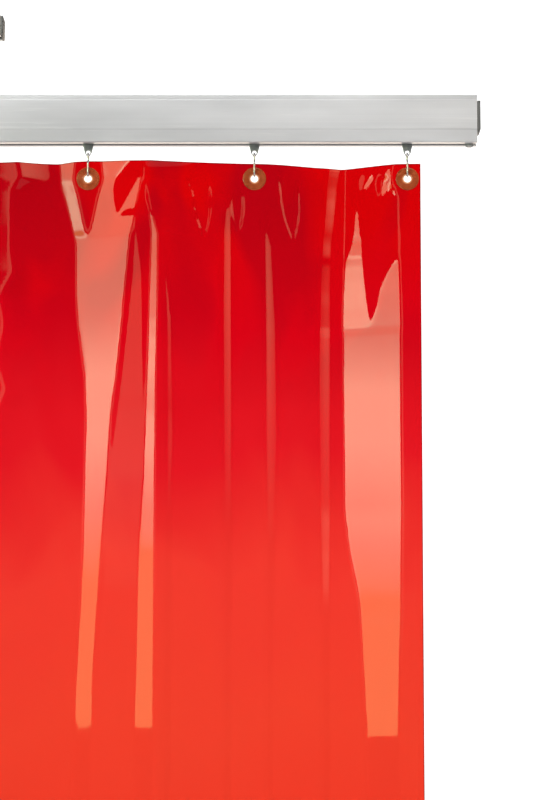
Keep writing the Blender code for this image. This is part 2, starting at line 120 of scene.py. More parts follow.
# Bands of the film that lean to one lamp: the lean at the band's left and right sides, the hanger that its
# places are measured from (1 is the rightmost), and rows of (drop below the top edge, left side, right side),
# in millimetres.
BANDS = (
    (TO_SHADE, 3, ((73, 56, 60), (138, 53, 68), (259, 41, 70), (380, 26, 68), (524, 20, 62), (644, 13, 60),
                   (1000, 8, 56), (1800, -6, 50))),
    (TO_KEY, 3, ((0, -36, 71), (8, -35, 69), (27, -33.4, 64.5), (51, -26, 59.5), (80, -18.6, 54.5),
                 (96, -15, 51.5), (108, -14.6, 50.5), (156, -14, 46), (194, -11.4, 43), (259, -2, 36.5),
                 (308, 0, 30), (476, -3, 19), (560, -7, 14), (620, -10, 10.5), (730, -14, 9.5),
                 (900, -18, 5), (1300, -22, -3), (1800, -28, -10))),
    (TO_KEY, 3, ((8, 68.6, 69), (25, 68.8, 71), (46, 69.6, 75), (59, 73.5, 77.5), (90, 76.5, 86),
                 (156, 74.5, 86), (259, 72.3, 84.2), (380, 69, 83.5), (476, 63.5, 83.5), (670, 60, 83),
                 (1100, 58, 80), (1800, 54, 74))),
    (TO_DARK, 1, ((0, -76, -9), (110, -78, -8), (200, -80, -6), (230, -60, -20), (260, -40, -38))),
    (TO_KEY, 1, ((40, -61, -60), (82, -63, -58), (94, -65, -54), (102, -67, -36), (112, -71, -12),
                 (118, -74, -8.5), (126, -75, -8.5), (156, -78, -7), (194, -78.5, -6.5), (260, -79, -6.5),
                 (420, -78, -6), (470, -72, -7), (520, -62, -8), (538, -60, -8), (680, -53, -12),
                 (900, -47, -12), (1300, -38, -18), (1800, -30, -20))),
    (TO_SHADE, 3, ((0, -150, -84), (20, -150, -80), (36, -150, -90), (60, -150, -91), (110, -150, -90),
                   (135, -150, -86), (165, -150, -102), (200, -150, -96), (240, -150, -104),
                   (280, -150, -92), (300, -150, -101), (420, -150, -108), (1800, -150, -112))),
    (TO_STRIP_RISING, 2, ((60, -38, -28), (90, -42, -27), (190, -43, -26.5), (300, -42, -26),
                          (400, -40, -26), (600, -36, -27), (1800, -34, -28))),
    (TO_STRIP_FALLING, 2, ((70, 10, 13), (100, 11, 24), (200, 12.5, 30), (330, 13, 32), (450, 15, 26),
                           (600, 16, 22), (1800, 16, 20))),
    (TO_STRIP_RISING, 2, ((4, 86, 104), (24, 84, 100), (60, 82, 97), (95, 79, 93), (150, 76, 91),
                          (260, 74, 90.5), (420, 76, 90), (600, 80, 89), (1800, 82, 88))),
    (TO_STRIP_RISING, 3, ((120, 90, 96), (200, 92, 103), (330, 92, 105), (430, 94, 103), (1800, 92, 98))),
    (TO_SHADE, 1, ((40, 2, 5), (120, 2, 6), (700, 3, 6), (1800, 3, 6))),
    (TO_STRIP_RISING, 1, ((10, 9, 13), (120, 9, 12.5), (700, 9, 12.5), (1800, 9, 12))),
    (TO_KEY, 4, ((0, 26, 60), (80, 30, 62), (200, 24, 52), (600, 20, 44), (1800, 10, 30))),
    (TO_KEY, 4, ((40, -60, -58), (100, -66, -20), (300, -70, -22), (700, -58, -24), (1800, -40, -20))),
    (TO_KEY, 6, ((0, 30, 74), (100, 36, 70), (400, 30, 60), (900, 30, 54), (1800, 24, 44))),
    (TO_SHADE, 5, ((60, 40, 60), (300, 44, 66), (1800, 40, 60))),
)

# Dark funnels of flat film below an eyelet: the hanger, the half width and the length, in millimetres.
FUNNELS = ((1, 15, 62), (2, 15, 58), (3, 16.5, 92), (4, 16, 80), (5, 16, 74), (6, 16, 88))

# Dark tongues that hang into a bright band: the hanger and rows of (drop, left, right) in millimetres.
TONGUES = (
    (3, ((0, 51, 75), (7, 42, 69), (20, 31, 62.5), (33, 28.2, 56), (51, 30, 46.6), (60, 32, 42),
         (67, 34, 36.5), (73, 38, 32), (80, 44, 26))),
    (1, ((95, -56, -8), (112, -55, -12), (128, -54, -22), (141, -52.5, -29), (156, -51, -34),
         (170, -49, -36), (185, -47, -41.5), (194, -46, -44.5), (202, -43, -48), (212, -36, -56))),
)

# Dimples pressed back into the film: the hanger, the middle, the half width, the top, the bottom, the depth
# and how far the middle moves to the right on the way down, in millimetres.
DIMPLES = (
    (2, -65, 13.5, 14, 92, 1.9, 5.0),
    (2, -21, 8.5, 30, 84, 1.7, 2.0),
    (2, 41, 14.0, 18, 93, 2.0, 6.0),
    (2, -78, 3.6, 16, 34, 1.5, 3.0),
    (2, 32, 3.8, 14, 36, 1.5, 2.0),
    (1, -15, 3.0, 8, 36, 1.4, -2.0),
    (1, -27, 7.0, 12, 36, 1.4, -5.0),
    (1, -46, 7.0, 10, 30, 0.6, -8.0),
    (4, 80, 14.0, 16, 90, 1.1, 5.0),
    (5, 60, 12.0, 20, 84, 1.0, -4.0),
    (6, 96, 13.0, 16, 90, 1.1, 4.0),
)

# How far the top edge stands above or below its line: the hanger, the place, the reach and the height, in
# millimetres.
TOP_EDGE = ((3, 6, 46, 3.0), (1, -92, 58, -4.0), (4, 100, 60, -2.0), (6, 100, 60, -2.5))


def clear_scene():
    for obj in list(bpy.data.objects):
        bpy.data.objects.remove(obj)


clear_scene()
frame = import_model()
NODES = frame["nodes"]


# ---- Meshes ----

def linked(name, mesh, finish=None):
    obj = bpy.data.objects.new(name, mesh)
    bpy.context.scene.collection.objects.link(obj)
    if finish is not None:
        mesh.materials.clear()
        mesh.materials.append(finish)
    return obj


def mesh_of(bm, name):
    mesh = bpy.data.meshes.new(name)
    bm.to_mesh(mesh)
    bm.free()
    return mesh


def smooth_by_angle(mesh, degrees):
    """Shades the mesh smooth, with its sharp edges kept."""
    mesh.polygons.foreach_set("use_smooth", [True] * len(mesh.polygons))
    mesh.set_sharp_from_angle(angle=math.radians(degrees))


def plain_mesh(obj):
    """The object's evaluated mesh, on its own."""
    graph = bpy.context.evaluated_depsgraph_get()
    return bpy.data.meshes.new_from_object(obj.evaluated_get(graph), depsgraph=graph)


def body_of(node):
    return NODES[node]["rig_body"]


def eyelet_z(number):
    low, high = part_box(f"eyelet_{number}")
    return (low.z + high.z) / 2


def hanger_x(number):
    low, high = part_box(f"eyelet_{number}")
    return (low.x + high.x) / 2


def softened(node, finish, width, segments=2, angle=32):
    """A copy of a CAD node with its edges rounded, shown in its place."""
    bm = bmesh.new()
    bm.from_mesh(NODES[node].data)
    bmesh.ops.remove_doubles(bm, verts=bm.verts, dist=1e-6)
    bmesh.ops.dissolve_limit(bm, angle_limit=math.radians(0.6), verts=bm.verts, edges=bm.edges)
    obj = linked(f"{node}_finished", mesh_of(bm, f"{node}_finished"), finish)
    bevel = obj.modifiers.new("edges", "BEVEL")
    bevel.width = width
    bevel.segments = segments
    bevel.limit_method = "ANGLE"
    bevel.angle_limit = math.radians(angle)
    bevel.use_clamp_overlap = True
    bevel.harden_normals = False
    made = plain_mesh(obj)
    obj.modifiers.clear()
    obj.data = made
    smooth_by_angle(made, 40)
    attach(obj, body_of(node))
    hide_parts(node)
    return obj


def turned(name, profile, centre, steps, finish):
    """A closed ring about the Y axis through centre, from (radius, y) points in order round its section."""
    bm = bmesh.new()
    rings = []
    for k in range(steps):
        turn = 2 * math.pi * k / steps
        ring = []
        for radius, y in profile:
            place = (centre[0] + radius * math.cos(turn), centre[1] + y, centre[2] + radius * math.sin(turn))
            ring.append(bm.verts.new(place))
        rings.append(ring)
    count = len(profile)
    for k in range(steps):
        now, after = rings[k], rings[(k + 1) % steps]
        for n in range(count):
            bm.faces.new((now[n], now[(n + 1) % count], after[(n + 1) % count], after[n]))
    bmesh.ops.recalc_face_normals(bm, faces=bm.faces)
    obj = linked(name, mesh_of(bm, name), finish)
    smooth_by_angle(obj.data, 38)
    return obj


# ---- Node tools ----

def new_finish(name):
    material = bpy.data.materials.new(name)
    material.use_nodes = True
    material.node_tree.nodes.clear()
    return material, material.node_tree


def add(tree, kind, inputs=None, **settings):
    """A node with its settings made and its inputs set to values or joined to other nodes' outputs."""
    node = tree.nodes.new(kind)
    for key, value in settings.items():
        setattr(node, key, value)
    for key, value in (inputs or {}).items():
        if isinstance(value, bpy.types.NodeSocket):
            tree.links.new(value, node.inputs[key])
        else:
            node.inputs[key].default_value = value
    return node


def output(tree, shader):
    add(tree, "ShaderNodeOutputMaterial", {"Surface": shader})


def places(tree, scale, source="Object"):
    """The piece's own coordinates, stretched by scale."""
    coordinates = add(tree, "ShaderNodeTexCoord")
    mapping = add(tree, "ShaderNodeMapping", {"Vector": coordinates.outputs[source], "Scale": scale})
    return mapping.outputs["Vector"]


def noise(tree, vector, scale, detail=4.0, roughness=0.55, distortion=0.0):
    inputs = {"Vector": vector, "Scale": scale, "Detail": detail, "Roughness": roughness}
    inputs["Distortion"] = distortion
    return add(tree, "ShaderNodeTexNoise", inputs).outputs["Fac"]


def ramp(tree, value, low, high, to_low, to_high):
    inputs = {"Value": value, "From Min": low, "From Max": high, "To Min": to_low, "To Max": to_high}
    return add(tree, "ShaderNodeMapRange", inputs).outputs["Result"]


def colours(tree, value, stops):
    node = add(tree, "ShaderNodeValToRGB", {"Fac": value})
    elements = node.color_ramp.elements
    while len(elements) < len(stops):
        elements.new(0.5)
    for element, (position, colour) in zip(elements, stops):
        element.position = position
        element.color = (*colour, 1.0)
    return node.outputs["Color"]


def blend_colours(tree, factor, first, second, how="MIX"):
    node = add(tree, "ShaderNodeMix", data_type="RGBA", blend_type=how)
    for socket, value in ((node.inputs[0], factor), (node.inputs[6], first), (node.inputs[7], second)):
        if isinstance(value, bpy.types.NodeSocket):
            tree.links.new(value, socket)
        elif isinstance(value, tuple):
            socket.default_value = (*value, 1.0)
        else:
            socket.default_value = value
    return node.outputs[2]


def maths(tree, how, first, second):
    return add(tree, "ShaderNodeMath", {0: first, 1: second}, operation=how).outputs[0]


def bump(tree, height, distance, strength=1.0):
    inputs = {"Height": height, "Distance": distance, "Strength": strength}
    return add(tree, "ShaderNodeBump", inputs).outputs["Normal"]


def worn_edges(tree, low=0.53, high=0.6):
    """1 along outer edges and 0 on flat faces."""
    geometry = add(tree, "ShaderNodeNewGeometry")
    return ramp(tree, geometry.outputs["Pointiness"], low, high, 0.0, 1.0)


# ---- Finishes ----

def rail_aluminium():
    """Satin anodised extrusion: fine die lines along X, painted sheen in broad lighter and darker bands along
    its length, and light handling marks.
    """
    material, tree = new_finish("rail_aluminium")
    lines = noise(tree, places(tree, (0.9, 900.0, 1500.0)), 1.0, 3.0, 0.6)
    streaks = noise(tree, places(tree, (7.0, 120.0, 190.0)), 1.0, 5.0, 0.62)
    # Painted sheen: broad lighter and darker bands along the rail stand in for the lamps' reflections, which
    # change along its length.
    painted_sheen_bands = noise(tree, places(tree, (3.2, 9.0, 14.0)), 1.0, 3.0)
    marks = noise(tree, places(tree, (26.0, 160.0, 420.0)), 1.0, 6.0, 0.72, 0.4)
    shade = colours(tree, painted_sheen_bands, ((0.36, (0.55, 0.56, 0.57)), (0.64, (0.70, 0.71, 0.72))))
    fine = colours(tree, lines, ((0.35, (0.88, 0.88, 0.88)), (0.65, (1.0, 1.0, 1.0))))
    shade = blend_colours(tree, 0.35, shade, fine, "MULTIPLY")
    shade = blend_colours(tree, ramp(tree, streaks, 0.58, 0.74, 0.0, 0.35), shade, (0.84, 0.84, 0.83))
    shade = blend_colours(tree, ramp(tree, marks, 0.66, 0.78, 0.0, 0.3), shade, (0.50, 0.50, 0.49))
    satin = ramp(tree, streaks, 0.3, 0.7, 0.30, 0.42)
    rough = maths(tree, "ADD", satin, ramp(tree, marks, 0.6, 0.8, 0.0, 0.1))
    height = maths(tree, "ADD", lines, ramp(tree, streaks, 0.3, 0.7, 0.0, 0.6))
    surface = add(tree, "ShaderNodeBsdfPrincipled", {
        "Base Color": shade, "Metallic": 0.35, "Roughness": rough, "Specular IOR Level": 0.6,
        "Normal": bump(tree, height, 0.02 * MM, 0.5)})
    output(tree, surface.outputs[0])
    return material


def galvanised_steel():
    """Dull zinc spangle with white bloom and rubbed edges."""
    material, tree = new_finish("galvanised_steel")
    where = places(tree, (1.0, 1.0, 1.0))
    cells = add(tree, "ShaderNodeTexVoronoi", {"Vector": where, "Scale": 190.0, "Randomness": 1.0})
    bloom = noise(tree, where, 42.0, 6.0, 0.66)
    shade = colours(tree, cells.outputs["Color"], ((0.2, (0.42, 0.43, 0.44)), (0.8, (0.60, 0.61, 0.62))))
    shade = blend_colours(tree, ramp(tree, bloom, 0.52, 0.68, 0.0, 0.5), shade, (0.66, 0.66, 0.65))
    shade = blend_colours(tree, maths(tree, "MULTIPLY", worn_edges(tree), 0.6), shade, (0.78, 0.78, 0.78))
    surface = add(tree, "ShaderNodeBsdfPrincipled", {
        "Base Color": shade, "Metallic": 0.85, "Roughness": ramp(tree, bloom, 0.35, 0.7, 0.34, 0.58),
        "Normal": bump(tree, cells.outputs["Distance"], 0.03 * MM, 0.4)})
    output(tree, surface.outputs[0])
    return material


def zinc_plate():
    """Bright zinc plating gone grey: faint rack marks, a rolled grain and bare rubbed edges."""
    material, tree = new_finish("zinc_plate")
    grain = noise(tree, places(tree, (300.0, 300.0, 1900.0)), 1.0, 3.0)
    patches = noise(tree, places(tree, (1.0, 1.0, 1.0)), 240.0, 5.0, 0.6)
    shade = colours(tree, patches, ((0.32, (0.30, 0.325, 0.33)), (0.68, (0.43, 0.455, 0.46))))
    shade = blend_colours(tree, maths(tree, "MULTIPLY", worn_edges(tree), 0.7), shade, (0.72, 0.73, 0.73))
    satin = ramp(tree, patches, 0.3, 0.7, 0.26, 0.42)
    rough = maths(tree, "ADD", satin, ramp(tree, grain, 0.4, 0.7, 0.0, 0.08))
    surface = add(tree, "ShaderNodeBsdfPrincipled", {
        "Base Color": shade, "Metallic": 0.75, "Roughness": rough,
        "Normal": bump(tree, grain, 0.02 * MM, 0.5)})
    output(tree, surface.outputs[0])
    return material


def bright_wire():
    """Drawn wire: fine draw lines and rubbed spots."""
    material, tree = new_finish("bright_wire")
    where = places(tree, (1.0, 1.0, 1.0))
    spots = noise(tree, where, 700.0, 4.0, 0.6)
    lines = noise(tree, places(tree, (5200.0, 900.0, 260.0)), 1.0, 2.0)
    shade = colours(tree, spots, ((0.35, (0.56, 0.57, 0.58)), (0.65, (0.80, 0.80, 0.79))))
    surface = add(tree, "ShaderNodeBsdfPrincipled", {
        "Base Color": shade, "Metallic": 0.9, "Roughness": ramp(tree, spots, 0.3, 0.7, 0.16, 0.30),
        "Normal": bump(tree, lines, 0.015 * MM, 0.4)})
    output(tree, surface.outputs[0])
    return material


def black_plastic():
    """Moulded cap: fine spark texture, dusty shoulders and pale rubbed corners."""
    material, tree = new_finish("black_plastic")
    where = places(tree, (1.0, 1.0, 1.0))
    grain = noise(tree, where, 2400.0, 3.0, 0.7)
    dust = noise(tree, where, 120.0, 5.0, 0.65)
    shade = colours(tree, dust, ((0.35, (0.030, 0.031, 0.028)), (0.7, (0.062, 0.063, 0.058))))
    shade = blend_colours(tree, maths(tree, "MULTIPLY", worn_edges(tree), 0.5), shade, (0.16, 0.16, 0.155))
    surface = add(tree, "ShaderNodeBsdfPrincipled", {
        "Base Color": shade, "Roughness": ramp(tree, dust, 0.3, 0.7, 0.44, 0.62),
        "Normal": bump(tree, grain, 0.05 * MM, 0.6)})
    output(tree, surface.outputs[0])
    return material


def white_nylon():
    """Turned nylon, yellowed a little and greyed where it rolls."""
    material, tree = new_finish("white_nylon")
    where = places(tree, (1.0, 1.0, 1.0))
    grime = noise(tree, where, 260.0, 5.0, 0.65)
    shade = colours(tree, grime, ((0.34, (0.62, 0.60, 0.54)), (0.66, (0.76, 0.75, 0.70))))
    surface = add(tree, "ShaderNodeBsdfPrincipled", {
        "Base Color": shade, "Roughness": ramp(tree, grime, 0.3, 0.7, 0.36, 0.55),
        "Subsurface Weight": 0.12, "Subsurface Scale": 1.2 * MM,
        "Normal": bump(tree, noise(tree, where, 1500.0, 3.0), 0.02 * MM, 0.5)})
    output(tree, surface.outputs[0])
    return material


def amber_plastic():
    """Clear amber moulding with flow marks, seen through to the film behind."""
    material, tree = new_finish("amber_plastic")
    where = places(tree, (1.0, 1.0, 1.0))
    flow = noise(tree, where, 150.0, 4.0, 0.55, 0.6)
    shade = colours(tree, flow, ((0.34, (0.36, 0.085, 0.025)), (0.68, (0.52, 0.15, 0.05))))
    tint = colours(tree, flow, ((0.3, (0.90, 0.66, 0.46)), (0.7, (0.97, 0.78, 0.60))))
    body = add(tree, "ShaderNodeBsdfPrincipled", {
        "Base Color": shade, "Roughness": ramp(tree, flow, 0.3, 0.7, 0.10, 0.22), "IOR": 1.5,
        "Normal": bump(tree, flow, 0.06 * MM, 0.5)})
    clear = add(tree, "ShaderNodeBsdfTransparent", {"Color": tint})
    mixed = add(tree, "ShaderNodeMixShader", {"Fac": 0.60, 1: body.outputs[0], 2: clear.outputs[0]})
    output(tree, mixed.outputs[0])
    return material


def red_orange_film():
    """Tinted see-through film, red, with painted shading from deep red at its upper end to orange lower down,
    crimson clouds, a painted dark line along its right and top edges, fine rolling lines down the sheet and
    hair scratches."""
    material, tree = new_finish("red_orange_film")
    along = places(tree, (1.0, 1.0, 1.0), "UV")
    flat = add(tree, "ShaderNodeSeparateXYZ", {"Vector": along})
    drop = flat.outputs["Y"]
    clouds = noise(tree, places(tree, (9.0, 4.5, 1.0), "UV"), 1.0, 2.0, 0.45, 0.8)
    # Painted shading down the sheet: the ramp goes from deep red at the top to orange lower down, standing in
    # for the light that falls more on the lower part, on top of the film's red dye.
    depth = maths(tree, "ADD", drop, ramp(tree, clouds, 0.3, 0.7, -0.03, 0.03))
    dye_and_painted_light = colours(tree, ramp(tree, depth, 0.0, 1.0, 0.0, 1.0), (
        (0.05, (0.74, 0.000, 0.006)), (0.20, (0.77, 0.001, 0.028)), (0.36, (0.85, 0.034, 0.060)),
        (0.50, (0.95, 0.150, 0.104)), (0.68, (0.96, 0.186, 0.100)), (0.95, (0.96, 0.152, 0.082))))
    # Crimson clouds: uneven tint, kept to the upper part, where they also deepen the painted darker top.
    high_up = ramp(tree, drop, 0.05, 0.30, 1.0, 0.0)
    crimson = maths(tree, "MULTIPLY", ramp(tree, clouds, 0.47, 0.60, 0.0, 0.75), high_up)
    dye_and_painted_light = blend_colours(tree, crimson, dye_and_painted_light, (0.50, 0.000, 0.022))
    # Painted shade: a dark line along the right and top edges of the sheet, standing in for the dark rim that
    # refraction gives the cut edge.
    side = ramp(tree, flat.outputs["X"], FILM_WIDTH - 1.3 * MM, FILM_WIDTH - 0.3 * MM, 0.0, 0.8)
    top = ramp(tree, drop, 0.3 * MM, 1.3 * MM, 0.8, 0.0)
    dye_and_painted_light = blend_colours(tree, maths(tree, "MAXIMUM", side, top), dye_and_painted_light, (0.16, 0.000, 0.008))
    rolling = noise(tree, places(tree, (420.0, 3.0, 1.0), "UV"), 1.0, 2.0)
    hairs = noise(tree, places(tree, (160.0, 7.0, 1.0), "UV"), 1.0, 7.0, 0.75, 0.5)
    gloss = ramp(tree, rolling, 0.3, 0.7, 0.015, 0.035)
    rough = maths(tree, "ADD", gloss, ramp(tree, hairs, 0.68, 0.8, 0.0, 0.1))
    waves = noise(tree, places(tree, (16.0, 5.0, 1.0), "UV"), 1.0, 2.0)
    height = maths(tree, "ADD", waves, maths(tree, "MULTIPLY", rolling, 0.01))
    normal = bump(tree, height, 0.25 * MM, 0.35)
    front = add(tree, "ShaderNodeBsdfDiffuse", {"Color": dye_and_painted_light, "Normal": normal})
    through = add(tree, "ShaderNodeBsdfTranslucent", {"Color": dye_and_painted_light, "Normal": normal})
    haze = add(tree, "ShaderNodeMixShader", {"Fac": 0.5, 1: front.outputs[0], 2: through.outputs[0]})
    # The see-through tint carries the painted shading down the sheet as well.
    tint = blend_colours(tree, 0.35, dye_and_painted_light, (1.0, 0.02, 0.02))
    clear = add(tree, "ShaderNodeBsdfTransparent", {"Color": tint})
    body = add(tree, "ShaderNodeMixShader", {"Fac": 0.58, 1: haze.outputs[0], 2: clear.outputs[0]})
    mirror = add(tree, "ShaderNodeBsdfGlossy", {"Roughness": rough, "Normal": normal})
    edge = add(tree, "ShaderNodeFresnel", {"IOR": 1.5, "Normal": normal})
    glossy = add(tree, "ShaderNodeMixShader", {
        "Fac": edge.outputs[0], 1: body.outputs[0], 2: mirror.outputs[0]})
    output(tree, glossy.outputs[0])
    return material


FINISHES = {
    "rail_aluminium": rail_aluminium(),
    "galvanised_steel": galvanised_steel(),
    "zinc_plate": zinc_plate(),
    "bright_wire": bright_wire(),
    "black_plastic": black_plastic(),
    "white_nylon": white_nylon(),
    "amber_plastic": amber_plastic(),
    "red_orange_film": red_orange_film(),
}


# ---- The film ----

def spread(start, end, step):
    """Even steps from start up to end, end left out."""
    count = max(1, round(abs(end - start) / step))
    return [start + (end - start) * k / count for k in range(count)]


def film_columns():
    """Places of the film's upright grid lines, and which of them run through the hangers."""
    low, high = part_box("curtain_film")
    cell = EYELET_CELL
    reach = EYELET_CELLS * cell
    lines, centres = [], {}
    hangers = [hanger_x(n) for n in range(HANGERS, 0, -1)]
    at = low.x
    for number, x in zip(range(HANGERS, 0, -1), hangers):
        step = FINE_STEP if number <= 2 else COARSE_STEP
        if number == 3:
            lines += spread(at, x - FINE_LEFT_OF_THIRD, step)
            at, step = x - FINE_LEFT_OF_THIRD, FINE_STEP
        lines += spread(at, x - reach, step)
        lines += [x + k * cell for k in range(-EYELET_CELLS, EYELET_CELLS)]
        centres[number] = len(lines) - EYELET_CELLS
        at = x + reach
    lines += spread(at, high.x, EDGE_STEP) + [high.x]
    return np.array(lines), centres


def film_rows():
    """Heights of the film's level grid lines, from the top down, and the one through the eyelets."""
    low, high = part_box("curtain_film")
    middle = eyelet_z(1)
    cell = EYELET_CELL
    lines = spread(high.z, middle + EYELET_CELLS * cell, TOP_STEP)
    centre = len(lines) + EYELET_CELLS
    lines += [middle - k * cell for k in range(-EYELET_CELLS, EYELET_CELLS)]
    at = middle - EYELET_CELLS * cell
    for step, drop in DROP_STEPS:
        lines += spread(at, high.z - drop, step)
        at = high.z - drop
    lines += spread(at, low.z, LOWEST_STEP)
    return np.array(lines + [low.z]), centre


def edge_places(rows, drop, x):
    """Left and right sides of a band at each row, and the drop at which it starts."""
    drops = [row[0] * MM for row in rows]
    left = x + np.interp(drop, drops, [row[1] * MM for row in rows])
    right = x + np.interp(drop, drops, [row[2] * MM for row in rows])
    return left, right, drops[0]


def eased(share):
    share = np.clip(share, 0, 1)
    return share * share * (3 - 2 * share)


def share_in(rows, drop, x, columns, soft=EDGE_SOFT):
    """How much each grid point belongs to a band, and how far across the band it is."""
    left, right, start = edge_places(rows, drop, x)
    left, right = left[:, None], right[:, None]
    inside = np.minimum(columns[None, :] - left, right - columns[None, :])
    share = eased(inside / soft + 0.5)
    if start > 0:
        share = share * eased((drop - start) / BAND_START_FADE + 1)[:, None]
    across = np.clip((columns[None, :] - left) / np.maximum(right - left, 1e-4), 0, 1)
    return share, across


def film_lean(columns, drop):
    """The film's lean across, dy/dx, before it is closed between hangers, and how much of it is set by a
    band, a tongue or a funnel."""
    lean = np.zeros((len(drop), len(columns)))
    taken = np.zeros_like(lean)
    for (left_lean, right_lean), number, rows in BANDS:
        share, across = share_in(rows, drop, hanger_x(number), columns)
        lean = lean * (1 - share) + (left_lean + (right_lean - left_lean) * across) * share
        taken = np.maximum(taken, share)
    for number, rows in TONGUES:
        share, _ = share_in(rows, drop, hanger_x(number), columns, TONGUE_SOFT * EDGE_SOFT)
        lean = lean * (1 - share) + TONGUE_LEANS[number] * share
        taken = np.maximum(taken, share)
    for number, half, length in FUNNELS:
        reach = half * MM * np.clip(FUNNEL_FULLNESS * (1 - drop / (length * MM)), 0, 1) ** FUNNEL_TAPER
        away = np.abs(columns[None, :] - hanger_x(number))
        share = np.clip((reach[:, None] - away) / FUNNEL_SOFT + 0.5, 0, 1)
        share *= np.clip(reach / FUNNEL_TIP_WIDTH, 0, 1)[:, None]
        share = eased(share)
        lean = lean * (1 - share)
        taken = np.maximum(taken, share)
    return lean, taken


def dimples(columns, drop):
    """Shallow U-shaped dimples that hang below the top edge."""
    depth = np.zeros((len(drop), len(columns)))
    for number, middle, half, top, bottom, deep, slant in DIMPLES:
        down = (drop / MM - top) / (bottom - top)
        rounded = half * np.clip(1 - np.clip(down, 0, 1.4) ** 2.4, -0.4, 1)
        width = rounded * (0.75 + 0.25 * np.clip(down, 0, 1))
        centre = hanger_x(number) / MM + middle + slant * down
        away = np.abs(columns[None, :] / MM - centre[:, None])
        share = eased((width[:, None] - away) / DIMPLE_SOFT + 0.5) * eased(down / 0.35 + 0.1)[:, None]
        depth += deep * MM * share
    return depth


def film_depth(columns, heights):
    """The film's place in Y at each grid point: waves that start and end at the hangers' line."""
    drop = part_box("curtain_film")[1].z - heights
    lean, taken = film_lean(columns, drop)
    depth = np.zeros_like(lean)
    hangers = [hanger_x(n) for n in range(HANGERS, 0, -1)]
    widths = np.diff(columns)
    for left, right in zip(hangers, hangers[1:]):
        inside = (columns >= left - 1e-9) & (columns <= right + 1e-9)
        first, last = np.flatnonzero(inside)[[0, -1]]
        at = columns[first:last + 1]
        share = (at - left) / (right - left)
        part = lean[:, first:last + 1].copy()
        room = (1 - taken[:, first:last + 1]) * (np.sin(math.pi * share) ** 0.7 + 1e-3)
        run = widths[first:last]
        over = ((part[:, 1:] + part[:, :-1]) / 2 * run).sum(1)
        spare = ((room[:, 1:] + room[:, :-1]) / 2 * run).sum(1)
        part -= room * (over / spare)[:, None]
        steps = (part[:, 1:] + part[:, :-1]) / 2 * run
        depth[:, first + 1:last + 1] = np.cumsum(steps, 1)
    edge = np.flatnonzero(columns >= hangers[-1] - 1e-9)
    tail = lean[:, edge]
    depth[:, edge[1:]] = np.cumsum((tail[:, 1:] + tail[:, :-1]) / 2 * widths[edge[:-1]], 1)
    depth += dimples(columns, drop)
    for number in range(1, HANGERS + 1):
        away = np.hypot(columns[None, :] - hanger_x(number), heights[:, None] - eyelet_z(number))
        depth *= eased((away - FLAT_RADIUS) / FLAT_FADE)
    return depth


def top_edge_lift(columns):
    """How far the top edge stands above its line at each column."""
    lift = np.zeros(len(columns))
    for number, middle, reach, height in TOP_EDGE:
        away = (columns - hanger_x(number)) / MM - middle
        lift += height * MM * np.exp(-(away / reach) ** 2)
    return lift


def rounded_holes(across, up, columns, heights, centres, centre_row):
    """Moves the grid points around each hanger into rings, so the square hole in the grid turns round."""
    for centre in centres.values():
        x, z = columns[centre], heights[centre_row]
        for i in range(-4, 5):
            for j in range(-4, 5):
                ring = max(abs(i), abs(j))
                row, column = centre_row + j, centre + i
                if ring < 2 or column >= len(columns):
                    continue
                round_to = HOLE_RADIUS * ring / 2
                length = math.hypot(i, j)
                blend = {2: 1.0, 3: 0.75, 4: 0.4}[ring]
                across[row, column] += blend * (x + round_to * i / length - across[row, column])
                up[row, column] += blend * (z - round_to * j / length - up[row, column])


